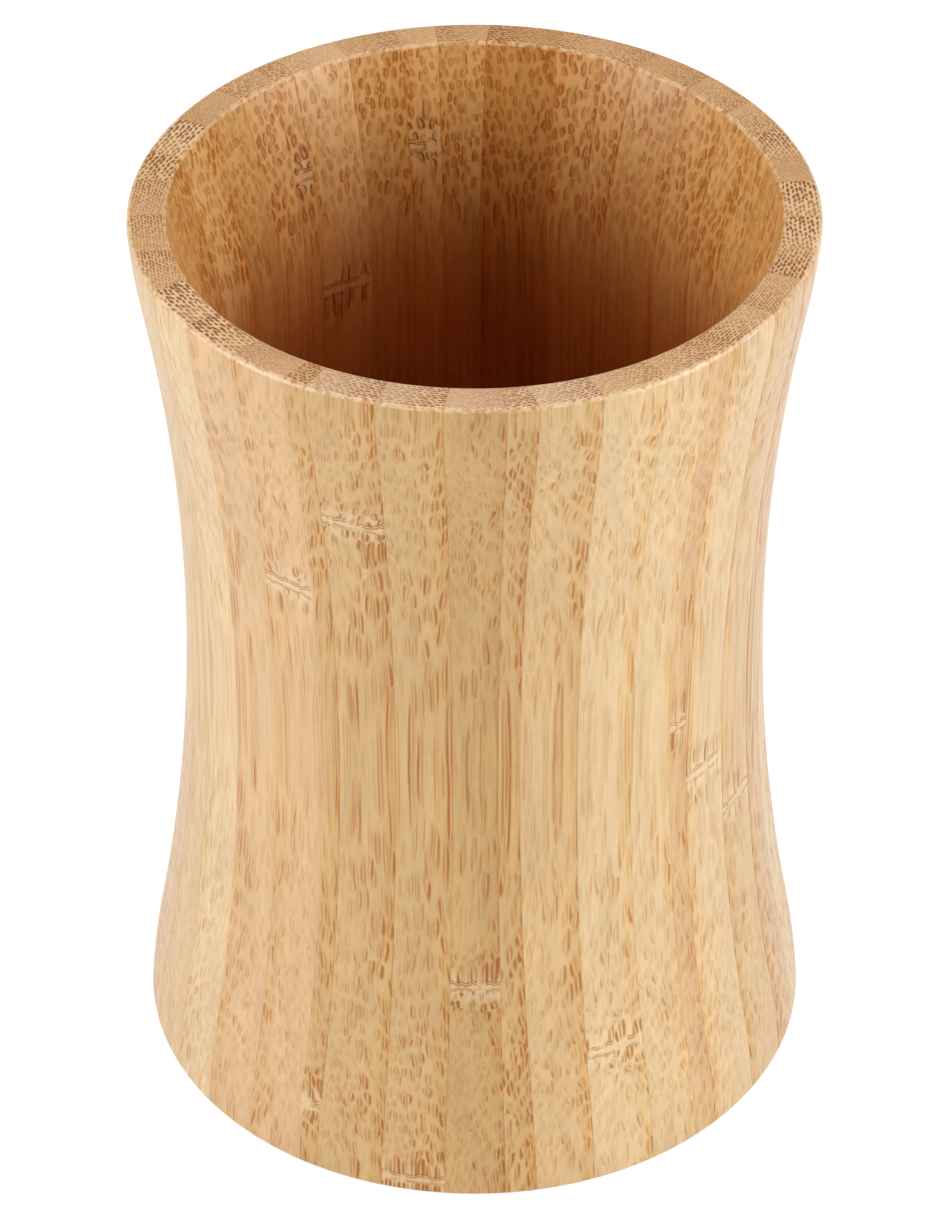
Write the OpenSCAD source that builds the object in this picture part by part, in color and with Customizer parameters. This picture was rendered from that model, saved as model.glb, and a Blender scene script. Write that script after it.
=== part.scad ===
// Bamboo cup, glued up from upright staves and turned on a lathe.
// The outside is waisted: wide at the rim, drawn in at the waist, widest at the foot.
// The base is a disc of edge-glued slats that seats in a rebate cut into the stave feet.
// The cup stands upright on z = 0 with its axis on z. The front faces -y.

/* [Outside] */
// Outer diameter at the rim
rim_d = 75; // [72:0.5:80]
// How far the waist is drawn in from the rim
waist_depth = 4.75; // [3.5:0.25:6.5]
// How far the foot spreads out from the waist
foot_spread = 5.75; // [4:0.25:8]
// Height of the cup
height = 110; // [95:1:125]
// Height of the waist above the foot
waist_h = 58.5; // [48:0.5:64]
// Radius of the curve that turns the side upright under the rim
lip_curve_r = 68; // [45:1:90]
// How far above the rim that curve would stand fully upright
lip_curve_rise = 3.4; // [0:0.2:6]
// Radius of the curve that turns the side upright over the foot
foot_curve_r = 89; // [55:1:110]
// How far below the foot that curve would stand fully upright
foot_curve_drop = 5.8; // [0:0.2:9]

/* [Inside] */
// Thickness of the wall at the rim
rim_wall = 4.2; // [3.4:0.1:5]
// Thickness of the wall at the waist, which sets the straight bore below the flared mouth
waist_wall = 4.45; // [3.9:0.05:6]
// Lean of the flared mouth from upright, in degrees
flare_angle = 15; // [11:1:20]
// Radius that blends the flare into the bore
flare_blend_r = 45; // [20:1:60]

/* [Base] */
// Width of the shoulder that the base disc seats on
base_shoulder = 2.8; // [1.5:0.1:4]
// Thickness of the base disc
base_t = 6; // [4:0.5:8]
// Height of the base disc above the surface the cup stands on
base_recess = 1; // [0.5:0.1:2]
// Glue gap around the edge of the base disc
glue_gap = 0.1; // [0.05:0.05:0.3]
// Number of slats in the base disc
base_slat_count = 9; // [7:1:11]

/* [Edges] */
// Rounding of the outer edge of the rim
rim_edge_r = 0.8; // [0.3:0.1:1.5]
// Rounding of the inner edge of the rim
mouth_edge_r = 0.7; // [0.3:0.1:1.5]
// Rounding of both edges of the foot ring
foot_edge_r = 0.6; // [0.3:0.1:1.5]

/* [Hidden] */
rim_r = rim_d / 2;
waist_r = rim_r - waist_depth;
foot_r = waist_r + foot_spread;
mouth_r = rim_r - rim_wall;
bore_r = waist_r - waist_wall;
seat_r = bore_r + base_shoulder;
seat_h = base_recess + base_t;
base_r = seat_r - glue_gap;
base_slat_w = 2 * base_r / base_slat_count;

// Overrun of the stave prisms past the wall on both sides
overrun = 2;
// Steps along a long curve of the side, along its short curves and along an edge rounding
long_steps = 8;
short_steps = 4;
edge_steps = 3;
$fn = 180;

// Glue seams between staves, as the angle in degrees round the cup at the outer and at
// the inner edge of the rim. Zero is the front, and the angle grows towards +x.
seam_angle = [
    [-5, -4.3], [5.2, 4.6], [10.4, 8.9], [20.9, 20.1], [32.3, 31.6], [41.6, 41.2],
    [46.3, 45.5], [57.4, 57], [68.4, 68.2], [77.5, 77.4], [87.2, 86.6], [97.8, 98.4],
    [106, 106], [114.7, 114.9], [124.4, 123.8], [135.1, 134.9], [146.2, 147.4],
    [154, 154.2], [164.4, 163.9], [177.2, 177.8], [187, 187.1], [194.5, 194.3],
    [205.7, 205.2], [217.2, 217.2], [221.6, 221.8], [230.9, 230.4], [241.8, 241.7],
    [252.5, 253.4], [261.7, 261.6], [272.8, 272.4], [283.6, 284.4], [295.5, 294.2],
    [306.5, 306.5], [317.5, 318], [328, 329], [332, 333], [344, 344.7]
];
stave_count = len(seam_angle);

// Bamboo tones from pale to dark, and the tone of each stave and of each slat of the base
pale = "#ebcca0";
straw = "#dfb98a";
rose = "#dab48c";
honey = "#cfa16a";
gold = "#c9995f";
smoked = "#a4703c";
stave_tone = [
    gold, honey, straw, pale, pale, rose, pale, pale, rose, pale, rose, gold, straw,
    honey, honey, gold, honey, straw, smoked, straw, honey, gold, straw, honey, straw,
    gold, pale, honey, rose, rose, straw, pale, rose, rose, straw, straw, honey
];
base_tone = [straw, honey, pale, gold, rose, straw, pale, honey, straw];

function two_digits(n) = str(n < 10 ? "0" : "", n);
STAVES = [for (i = [1:stave_count]) str("stave_", two_digits(i))];
BASE_SLATS = [for (i = [1:base_slat_count]) str("base_slat_", two_digits(i))];

// Points of an arc without its first point, which the stretch before it has already set
function arc_on(c, r, from, to, steps) = [
    for (i = [1:steps])
        let (a = from + (to - from) * i / steps)
        c + r * [cos(a), sin(a)]
];

// Points of an arc with both its ends
function arc(c, r, from, to, steps) =
    concat([c + r * [cos(from), sin(from)]], arc_on(c, r, from, to, steps));

function heading(from, to) = atan2(to.y - from.y, to.x - from.x);

// Radius of the hollow of the waist that is tangent to a round of radius r about c
function hollow_r(c, r) =
    let (a = waist_r - c.x, b = waist_h - c.y)
    (a * a + b * b - r * r) / (2 * (r - a));

// Centre of an edge rounding that touches the level z from inside a round of radius r about c
function edge_centre(c, r, edge_r, z) =
    [c.x + sqrt(pow(r - edge_r, 2) - pow(z - c.y, 2)), z];

foot_curve_c = [foot_r - sqrt(pow(foot_curve_r, 2) - pow(foot_curve_drop, 2)), -foot_curve_drop];
lip_curve_c = [rim_r - sqrt(pow(lip_curve_r, 2) - pow(lip_curve_rise, 2)), height + lip_curve_rise];
lower_hollow_r = hollow_r(foot_curve_c, foot_curve_r);
upper_hollow_r = hollow_r(lip_curve_c, lip_curve_r);
lower_hollow_c = [waist_r + lower_hollow_r, waist_h];
upper_hollow_c = [waist_r + upper_hollow_r, waist_h];
foot_edge_c = edge_centre(foot_curve_c, foot_curve_r, foot_edge_r, foot_edge_r);
rim_edge_c = edge_centre(lip_curve_c, lip_curve_r, rim_edge_r, height - rim_edge_r);
seat_edge_c = [seat_r + foot_edge_r, foot_edge_r];
mouth_edge_c = [
    mouth_r + mouth_edge_r * (1 - sin(flare_angle)) / cos(flare_angle),
    height - mouth_edge_r
];
flare_blend_c = [
    bore_r + flare_blend_r,
    height + ((bore_r + flare_blend_r - mouth_r) * cos(flare_angle) - flare_blend_r)
        / sin(flare_angle)
];

// Section of the wall from the axis outwards: up the outside, over the rim, down the inside
wall_outline = concat(
    arc(seat_edge_c, foot_edge_r, 180, 270, edge_steps),
    arc(foot_edge_c, foot_edge_r, -90, heading(foot_curve_c, foot_edge_c), edge_steps),
    arc_on(foot_curve_c, foot_curve_r, heading(foot_curve_c, foot_edge_c),
        heading(foot_curve_c, lower_hollow_c), short_steps),
    arc_on(lower_hollow_c, lower_hollow_r, 180 + heading(foot_curve_c, lower_hollow_c),
        180, long_steps),
    arc_on(upper_hollow_c, upper_hollow_r, 180,
        180 + heading(lip_curve_c, upper_hollow_c), long_steps),
    arc_on(lip_curve_c, lip_curve_r, heading(lip_curve_c, upper_hollow_c),
        heading(lip_curve_c, rim_edge_c), short_steps),
    arc_on(rim_edge_c, rim_edge_r, heading(lip_curve_c, rim_edge_c), 90, edge_steps),
    arc(mouth_edge_c, mouth_edge_r, 90, 180 - flare_angle, edge_steps),
    arc(flare_blend_c, flare_blend_r, 180 - flare_angle, 180, short_steps),
    [[bore_r, seat_h], [seat_r, seat_h]]
);

// Point at radius r and at an angle measured from the front
function round_point(r, angle) = r * [sin(angle), -cos(angle)];

// Two ends of a seam in plan, past the bore and past the widest part of the wall
function seam_ends(seam) =
    let (
        outer = round_point(rim_r, seam[0]),
        inner = round_point(mouth_r, seam[1]),
        along = (outer - inner) / rim_wall
    )
    [
        inner - along * (mouth_r - bore_r + overrun),
        outer + along * (max(foot_r, rim_r) - rim_r + overrun)
    ];

module wall() {
    rotate_extrude() polygon(wall_outline);
}

// One upright stave between two glue seams
module stave(i) {
    left = seam_ends(seam_angle[i]);
    right = seam_ends(seam_angle[(i + 1) % stave_count]);
    color(stave_tone[i])
        intersection() {
            wall();
            linear_extrude(height)
                polygon([left[0], left[1], right[1], right[0]]);
        }
}

// One slat of the base disc, cut round where it reaches the edge
module base_slat(i) {
    color(base_tone[i % len(base_tone)])
        translate([0, 0, base_recess])
            intersection() {
                cylinder(h = base_t, r = base_r);
                translate([i * base_slat_w - base_r, -base_r, 0])
                    cube([base_slat_w, 2 * base_r, base_t]);
            }
}

for (i = [0:stave_count - 1])
    stave(i);

for (i = [0:base_slat_count - 1])
    base_slat(i);
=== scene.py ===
import math

import bpy
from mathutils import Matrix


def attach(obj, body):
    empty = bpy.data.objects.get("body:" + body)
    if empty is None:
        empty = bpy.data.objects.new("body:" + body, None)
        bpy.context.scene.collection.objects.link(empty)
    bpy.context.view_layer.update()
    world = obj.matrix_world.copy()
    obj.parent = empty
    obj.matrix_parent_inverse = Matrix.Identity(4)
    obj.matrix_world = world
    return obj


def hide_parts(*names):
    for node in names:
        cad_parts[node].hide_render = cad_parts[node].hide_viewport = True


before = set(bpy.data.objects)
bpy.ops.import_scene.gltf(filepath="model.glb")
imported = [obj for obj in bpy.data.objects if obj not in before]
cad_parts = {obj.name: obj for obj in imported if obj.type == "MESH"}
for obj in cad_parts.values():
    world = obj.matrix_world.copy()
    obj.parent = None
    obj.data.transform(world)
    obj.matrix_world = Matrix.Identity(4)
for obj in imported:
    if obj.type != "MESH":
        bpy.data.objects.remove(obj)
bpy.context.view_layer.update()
scene = bpy.context.scene

# Camera: a long lens that looks down on the cup from the front, at the angle of the photograph.
# The cup's axis stands a little right of the middle of the picture.
MM = 0.001
AIM_HEIGHT = 55.34 * MM
CAMERA_DISTANCE = 625.5 * MM
CAMERA_ELEVATION = math.radians(37.88)
FOCAL_LENGTH = 163.05
SENSOR_WIDTH = 36
SIDE_SHIFT = -0.0038
NEAREST_SEEN = 0.02
FURTHEST_SEEN = 20

lens = bpy.data.cameras.new("Long lens")
lens.lens = FOCAL_LENGTH
lens.sensor_width = SENSOR_WIDTH
lens.shift_x = SIDE_SHIFT
lens.clip_start = NEAREST_SEEN
lens.clip_end = FURTHEST_SEEN
camera = bpy.data.objects.new("Camera", lens)
camera.location = (
    0,
    -CAMERA_DISTANCE * math.cos(CAMERA_ELEVATION),
    AIM_HEIGHT + CAMERA_DISTANCE * math.sin(CAMERA_ELEVATION),
)
camera.rotation_euler = (math.radians(90) - CAMERA_ELEVATION, 0, 0)
scene.collection.objects.link(camera)
scene.camera = camera

# Section of the wall, in millimetres and degrees. The cup is turned inside and out on a lathe, so
# every stave has this one section. It runs from the base's seat under the foot, up the waist, over
# the rim and down the flared mouth into the bore, all in tangent arcs, sanded by a hair.
RIM_RADIUS = 37.5
WAIST_RADIUS = 32.75
FOOT_RADIUS = 38.5
CUP_HEIGHT = 110
WAIST_HEIGHT = 58.5
MOUTH_RADIUS = 33.3
BORE_RADIUS = 28.3
SEAT_RADIUS = 31.1
SEAT_HEIGHT = 7
LIP_CURVE = 68
LIP_CURVE_RISE = 3.4
FOOT_CURVE = 89
FOOT_CURVE_DROP = 5.8
FLARE_ANGLE = 15
FLARE_BLEND = 45
RIM_EDGE = 0.8
MOUTH_EDGE = 0.7
FOOT_EDGE = 0.6
SANDED_OFF = 0.01
BORE_HEIGHTS = (64, 46, 28, SEAT_HEIGHT)
LEAST_STEP = 0.001
# How many steps each arc of the section is drawn in.
SMALL_EDGE_STEPS = 5
LARGE_EDGE_STEPS = 6
FOOT_CURVE_STEPS = 6
HOLLOW_STEPS = 14
LIP_CURVE_STEPS = 7
FLARE_BLEND_STEPS = 9


def arc(centre, radius, start, stop, steps):
    """Points of an arc in the plane of the section, between two angles in degrees."""
    turns = [math.radians(start + (stop - start) * i / steps) for i in range(steps + 1)]
    return [(centre[0] + radius * math.cos(t), centre[1] + radius * math.sin(t)) for t in turns]


def heading(start, stop):
    """Direction from one point of the section to another, in degrees."""
    return math.degrees(math.atan2(stop[1] - start[1], stop[0] - start[0]))


def waist_hollow(centre, radius):
    """Centre and radius of the hollow that leaves the waist upright and meets a round curve."""
    a = WAIST_RADIUS - centre[0]
    b = WAIST_HEIGHT - centre[1]
    hollow = (a * a + b * b - radius * radius) / (2 * (radius - a))
    return (WAIST_RADIUS + hollow, WAIST_HEIGHT), hollow


def edge_centre(centre, radius, edge, height):
    """Centre of an edge rounding that touches a round curve from inside at a given height."""
    return (centre[0] + math.sqrt((radius - edge) ** 2 - (height - centre[1]) ** 2), height)


def wall_outline():
    """Points of the section as radius and height in millimetres, from the seat outwards."""
    foot = (FOOT_RADIUS - math.sqrt(FOOT_CURVE**2 - FOOT_CURVE_DROP**2), -FOOT_CURVE_DROP)
    lip = (RIM_RADIUS - math.sqrt(LIP_CURVE**2 - LIP_CURVE_RISE**2), CUP_HEIGHT + LIP_CURVE_RISE)
    lower, lower_radius = waist_hollow(foot, FOOT_CURVE)
    upper, upper_radius = waist_hollow(lip, LIP_CURVE)
    foot_edge = edge_centre(foot, FOOT_CURVE, FOOT_EDGE, FOOT_EDGE)
    rim_edge = edge_centre(lip, LIP_CURVE, RIM_EDGE, CUP_HEIGHT - RIM_EDGE)
    seat_edge = (SEAT_RADIUS + FOOT_EDGE, FOOT_EDGE)
    lean = math.radians(FLARE_ANGLE)
    mouth_edge = (
        MOUTH_RADIUS + MOUTH_EDGE * (1 - math.sin(lean)) / math.cos(lean),
        CUP_HEIGHT - MOUTH_EDGE,
    )
    blend_x = BORE_RADIUS + FLARE_BLEND
    blend_drop = ((blend_x - MOUTH_RADIUS) * math.cos(lean) - FLARE_BLEND) / math.sin(lean)
    blend = (blend_x, CUP_HEIGHT + blend_drop)
    low, high = heading(foot, lower), heading(lip, upper)
    points = arc(seat_edge, FOOT_EDGE, 180, 270, SMALL_EDGE_STEPS)
    points += arc(foot_edge, FOOT_EDGE, -90, heading(foot, foot_edge), LARGE_EDGE_STEPS)
    points += arc(foot, FOOT_CURVE, heading(foot, foot_edge), low, FOOT_CURVE_STEPS)
    points += arc(lower, lower_radius, 180 + low, 180, HOLLOW_STEPS)
    points += arc(upper, upper_radius, 180, 180 + high, HOLLOW_STEPS)
    points += arc(lip, LIP_CURVE, high, heading(lip, rim_edge), LIP_CURVE_STEPS)
    points += arc(rim_edge, RIM_EDGE, heading(lip, rim_edge), 90, LARGE_EDGE_STEPS)
    points += arc(mouth_edge, MOUTH_EDGE, 90, 180 - FLARE_ANGLE, SMALL_EDGE_STEPS)
    points += arc(blend, FLARE_BLEND, 180 - FLARE_ANGLE, 180, FLARE_BLEND_STEPS)
    points += [(BORE_RADIUS, height) for height in BORE_HEIGHTS]
    points += [(SEAT_RADIUS, SEAT_HEIGHT)]
    apart = [points[0]]
    for point in points[1:]:
        if math.dist(point, apart[-1]) > LEAST_STEP:
            apart.append(point)
    return apart


def section_mesh(name, outline):
    """One flat face in the plane of a section, in metres, that knows which way is inwards."""
    inwards = []
    for i, point in enumerate(outline):
        before, after = outline[i - 1], outline[(i + 1) % len(outline)]
        sides = []
        for start, stop in ((before, point), (point, after)):
            length = math.dist(start, stop)
            sides.append(((start[1] - stop[1]) / length, (stop[0] - start[0]) / length))
        share = 1 + sides[0][0] * sides[1][0] + sides[0][1] * sides[1][1]
        inwards.append([(sides[0][k] + sides[1][k]) / share for k in (0, 1)])
    sanded = [
        [(point[k] + SANDED_OFF * inward[k]) * MM for k in (0, 1)]
        for point, inward in zip(outline, inwards)
    ]
    mesh = bpy.data.meshes.new(name)
    mesh.from_pydata([(x, y, 0) for x, y in sanded], [], [range(len(sanded))])
    inward_of = mesh.attributes.new("inward", "FLOAT_VECTOR", "POINT")
    inward_of.data.foreach_set("vector", [c for x, y in inwards for c in (x, y, 0)])
    return mesh


# Varnished bamboo, the one material of the cup. Strands of dark fibre run up every slat, big ones
# along one seam and small ones in the rest. They are drawn in the slat's own cross-section, so they
# come out as specks on the rim, drops on the sloped wall and streaks at the waist.


def feed(tree, target, source):
    """Links an input to a socket or sets it to a value. None leaves it as it is."""
    if isinstance(source, bpy.types.NodeSocket):
        tree.links.new(source, target)
    elif source is not None:
        target.default_value = source


def put(tree, kind, *sources, **settings):
    """Adds a node. Its inputs take, in order, a value, a socket to link from, or None."""
    node = tree.nodes.new(kind)
    for name, value in settings.items():
        setattr(node, name, value)
    for target, source in zip(node.inputs, sources):
        feed(tree, target, source)
    return node


def feed_named(tree, node, **sources):
    """Feeds inputs by name, where an underscore in the name stands for a space."""
    for name, source in sources.items():
        feed(tree, node.inputs[name.replace("_", " ")], source)
    return node


def sockets_of(tree, inputs, outputs):
    """Names a tree's inputs and outputs, given by kind, and returns them for linking."""
    for direction, kinds in (("INPUT", inputs), ("OUTPUT", outputs)):
        for kind, names in kinds.items():
            for name in names:
                tree.interface.new_socket(name, in_out=direction, socket_type="NodeSocket" + kind)
    return tree.nodes.new("NodeGroupInput").outputs, tree.nodes.new("NodeGroupOutput").inputs


def reckon(tree, operation, *sources):
    return put(tree, "ShaderNodeMath", *sources, operation=operation).outputs[0]


def reckon_vectors(tree, operation, *sources):
    return put(tree, "ShaderNodeVectorMath", *sources, operation=operation).outputs


def times(tree, first, second):
    return reckon(tree, "MULTIPLY", first, second)


def plus(tree, first, second):
    return reckon(tree, "ADD", first, second)


def minus(tree, first, second):
    return reckon(tree, "SUBTRACT", first, second)


def sloped(tree, value, slope, start):
    """The value times the slope, and the start added."""
    return reckon(tree, "MULTIPLY_ADD", value, slope, start)


def size_of(tree, value):
    """The value without its sign."""
    return reckon(tree, "ABSOLUTE", value)


def rest_of(tree, share):
    """What is left of 1."""
    return minus(tree, 1.0, share)


def at_most_1(tree, share):
    return reckon(tree, "MINIMUM", share, 1.0)


def centred(tree, value):
    """A random value from 0 to 1, counted from its middle."""
    return minus(tree, value, 0.5)


def fade(tree, value, start, stop, low=0.0, high=1.0):
    """A smooth step from low at start to high at stop."""
    ends = (start, stop, low, high)
    return put(tree, "ShaderNodeMapRange", value, *ends, interpolation_type="SMOOTHSTEP").outputs[0]


def vector_of(tree, x, y, z=0.0):
    return put(tree, "ShaderNodeCombineXYZ", x, y, z).outputs[0]


def split(tree, vector):
    return put(tree, "ShaderNodeSeparateXYZ", vector).outputs


def stored(tree, name):
    """The three numbers that every point of a piece keeps under a name."""
    return split(tree, put(tree, "ShaderNodeAttribute", attribute_name=name).outputs["Vector"])


def colour_mix(tree, share, first, second, kind="MIX"):
    """Two colours mixed. The node's inputs between the share and the colours are for other kinds."""
    node = put(tree, "ShaderNodeMix", share, data_type="RGBA", blend_type=kind)
    feed(tree, node.inputs[6], first)
    feed(tree, node.inputs[7], second)
    return node.outputs[2]


def tinted(tree, colour, tint):
    return colour_mix(tree, 1.0, colour, tint, "MULTIPLY")


def noise(tree, across, through, along, scales, detail=2.0, roughness=0.5):
    """Noise in the slat's own millimetres, as its value and its colour."""
    ways = zip((across, through, along), scales)
    place = vector_of(tree, *[times(tree, way, scale) for way, scale in ways])
    return put(tree, "ShaderNodeTexNoise", place, None, 1.0, detail, roughness).outputs


def paint(code):
    """A colour code of the form #rrggbb as linear light."""
    parts = [int(code[i : i + 2], 16) / 255 for i in (1, 3, 5)]
    return [c / 12.92 if c <= 0.04045 else ((c + 0.055) / 1.055) ** 2.4 for c in parts] + [1.0]


# How one strand is drawn, in shares of its own half size. A pair is where a mark starts and is full.
SMALLEST_STRAND = 0.78
STRANDS_GROW_BY = 0.45
ROWS_STAGGERED = 0.5
UPRIGHT_CHANCE = 0.35
LIPS_APART = 0.58
LIP_WIDTH = (0.6, 0.12)
STRAND_END = 1.15
LIPS_FADE_FROM = 0.6
WEAKEST_STRAND = 0.5
STRANDS_DARKEN_BY = 0.75
ONE_LIP_STRONGER = 0.9
WEAK_LIP = (-0.2, 0.12, 0.28, 1.0)
CORE_WIDTH = (0.5, 0.1)
CORE_END = (0.2, 0.7)
HALO_WIDTH = (3.2, 0.3)
STRANDS_SCATTER = 0.6


def strands(tree, across, depth, spacing, pitch, half, keep, closing, scatter=STRANDS_SCATTER):
    """One strand size at a point of the section: dark lips, a core for a painted highlight, a warm halo.

    pitch and half are the distance between strands and half their size, across and through the
    slat in millimetres. keep tells from the place of a strand's middle, and from a random number,
    whether it is there. closing is how far its two lips lean together towards its ends, and
    scatter how far strands stray from even rows."""
    wide = times(tree, spacing, pitch[0])
    deep = times(tree, spacing, pitch[1])
    row = reckon(tree, "DIVIDE", depth, deep)
    shifted = sloped(tree, row, ROWS_STAGGERED, reckon(tree, "DIVIDE", across, wide))
    cell = put(tree, "ShaderNodeTexVoronoi", voronoi_dimensions="2D", feature="F1")
    feed_named(tree, cell, Vector=vector_of(tree, shifted, row), Scale=1.0, Randomness=scatter)
    centre = split(tree, cell.outputs["Position"])
    row_away = minus(tree, row, centre[1])
    middle = times(tree, sloped(tree, centre[1], -ROWS_STAGGERED, centre[0]), wide)
    away = reckon(tree, "DIVIDE", minus(tree, across, middle), wide)
    chance = split(tree, cell.outputs["Color"])
    growth = sloped(tree, chance[0], STRANDS_GROW_BY, SMALLEST_STRAND)
    side = reckon(tree, "DIVIDE", times(tree, away, pitch[0] / half[0]), growth)
    rise = reckon(tree, "DIVIDE", times(tree, row_away, pitch[1] / half[1]), growth)
    side = sloped(tree, minus(tree, chance[1], UPRIGHT_CHANCE), rise, side)
    bow = times(tree, times(tree, rise, rise), closing)
    bow = reckon(tree, "MAXIMUM", rest_of(tree, bow), 0.0)
    off_middle = size_of(tree, side)
    lip = size_of(tree, sloped(tree, bow, -LIPS_APART, off_middle))
    whole = fade(tree, size_of(tree, rise), STRAND_END, times(tree, closing, LIPS_FADE_FROM))
    whole = times(tree, whole, sloped(tree, chance[0], STRANDS_DARKEN_BY, WEAKEST_STRAND))
    lip = times(tree, fade(tree, lip, *LIP_WIDTH), whole)
    weaker = sloped(tree, chance[1], ONE_LIP_STRONGER, -ONE_LIP_STRONGER / 2)
    lip = times(tree, lip, fade(tree, times(tree, side, weaker), *WEAK_LIP))
    core = times(tree, fade(tree, off_middle, *CORE_WIDTH), fade(tree, bow, *CORE_END))
    halo = plus(tree, times(tree, side, side), times(tree, rise, rise))
    here = keep(middle, chance[2])
    return [times(tree, part, here) for part in (lip, core, fade(tree, halo, *HALO_WIDTH))]


# Strands of a slat: their pitch and half their size in millimetres, across and through the slat,
# and how dark they are. The rows are the big, the middle and the small ones.
STRAND_SIZES = (
    ((1.0, 0.5), (0.37, 0.21), 1.0),
    ((0.84, 0.44), (0.3, 0.18), 0.8),
    ((0.66, 0.36), (0.23, 0.145), 0.55),
)
SCAR_STRANDS = ((1.05, 0.46), (0.43, 0.22))
RIM_SPECKS = ((0.65, 0.37), (0.2, 0.095))
SPECKS_SCATTER = 0.35
MIDDLE_REACH = 2.2
BORDER_JITTER = 1.2
# Noise: how often it changes in a millimetre across, through and along the slat.
SWAY = (0.12, 0.12, 0.06)
RIPPLE = (1.1, 1.0, 1.0)
HAIRS = (5.0, 2.0, 0.12)
BANDS = (0.3, 0.3, 0.05)
MOTTLE = (1.7, 1.7, 0.6)
CLUSTERS = (0.35, 0.5, 0.08)
FINE_DETAIL = 3.0
FINE_ROUGHNESS = 0.6
# Where a random value, or a slat's strength of specks, starts a mark and makes it full.
CLUSTER_STRENGTH = (0.3, 0.65, 0.6, 1.25)
SPECKED_PALE = (0.8, 1.25, 0.0, 0.4)
# Where noise breaks up the painted highlight on the rim's sanded edges.
EDGE_HIGHLIGHT_BREAKS = (0.4, 0.58)
SCAR_BROKEN = (0.36, 0.5)
# Millimetres: from a scar, from a seam, and heights inside the cup. A pair is from faint to full.
SCAR_SWIRL = (5.0, 1.0)
SCAR_STRANDS_BELOW = 0.5
SCAR_STRANDS_END = (3.8, 2.4)
LONG_SCAR_ADDS = (4.0, 2.0)
LONG_SCAR_SIDE = (3.2, 2.0)
SCAR_GAP_BELOW = 0.55
SCAR_GAP = (0.85, 0.4)
SCAR_LINES_APART = 0.17
SCAR_LINE = (0.15, 0.05)
SCAR_FOLD = (0.35, 0.1)
SCAR_FOLD_BELOW = 1.1
SCAR_GLOW_BELOW = 0.6
SCAR_GLOW = (3.2, 0.4)
STRONG_SEAM = (0.16, 0.04)
OPEN_SEAM = (0.08, 0.02)
# Heights inside the cup over which the painted shade deepens towards the bore.
PAINTED_SHADE_DEEPENS = (104.0, 74.0)
# The same with the values at both ends, for marks that don't go from nothing to full.
STREAKS_SOFTEN = (97.0, 83.0, 0.0, 0.6)
SEAM_STRENGTH = (1.5, 0.2, 1.0, 1.4)
SEAM_WARMTH = (2.6, 0.0, 0.0, 0.4)
SPECKS_ACROSS = (6.0, 0.0, 0.6, 1.15)
# How upright a face points: from the side of the cup to the end grain, and the sanded edge between.
END_GRAIN_FROM = (0.55, 0.9)
# The sanded edge between carries a painted highlight, partly its wear.
EDGE_HIGHLIGHT_FROM = (0.35, 0.5)
EDGE_HIGHLIGHT_TO = (0.97, 0.85)
# How satin the varnish is: its roughness, its gloss, and how much of that the end grain soaks up.
VARNISH_ROUGHNESS = 0.38
HAIRS_ROUGHEN = 0.12
STRANDS_ROUGHEN = 0.08
GLOSS = 0.4
GLOSS_LOST_ON_END = 0.38
# Colours that all tones share, and tints that colours are multiplied by.
# Pale ground beside node scars, and the painted highlight in the cores of strands outside.
PALE_GROUND_AND_HIGHLIGHT = "#f6e3c0"
INNER_GROUND = "#d0a76c"
INNER_FIBRE = "#a05c1a"
BURNT_FIBRE = "#6b3410"
SPECKED_GROUND = "#f3d3a2"
SPECK = "#84400c"
# Painted highlight on the sanded edges of the rim, partly their wear.
EDGE_WEAR_AND_HIGHLIGHT = "#fbe4c0"
WARM_HALO = (0.94, 0.8, 0.5, 1)
CUT_FIBRES = (1.0, 0.89, 0.85, 1)
# Painted shade and bounced light inside the cup: its tint under the mouth and deep in the bore.
PAINTED_SHADE_AT_MOUTH = (1.06, 0.92, 0.7, 1)
PAINTED_SHADE_IN_BORE = (0.74, 0.34, 0.16, 1)
WHITE = (1, 1, 1, 1)


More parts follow.
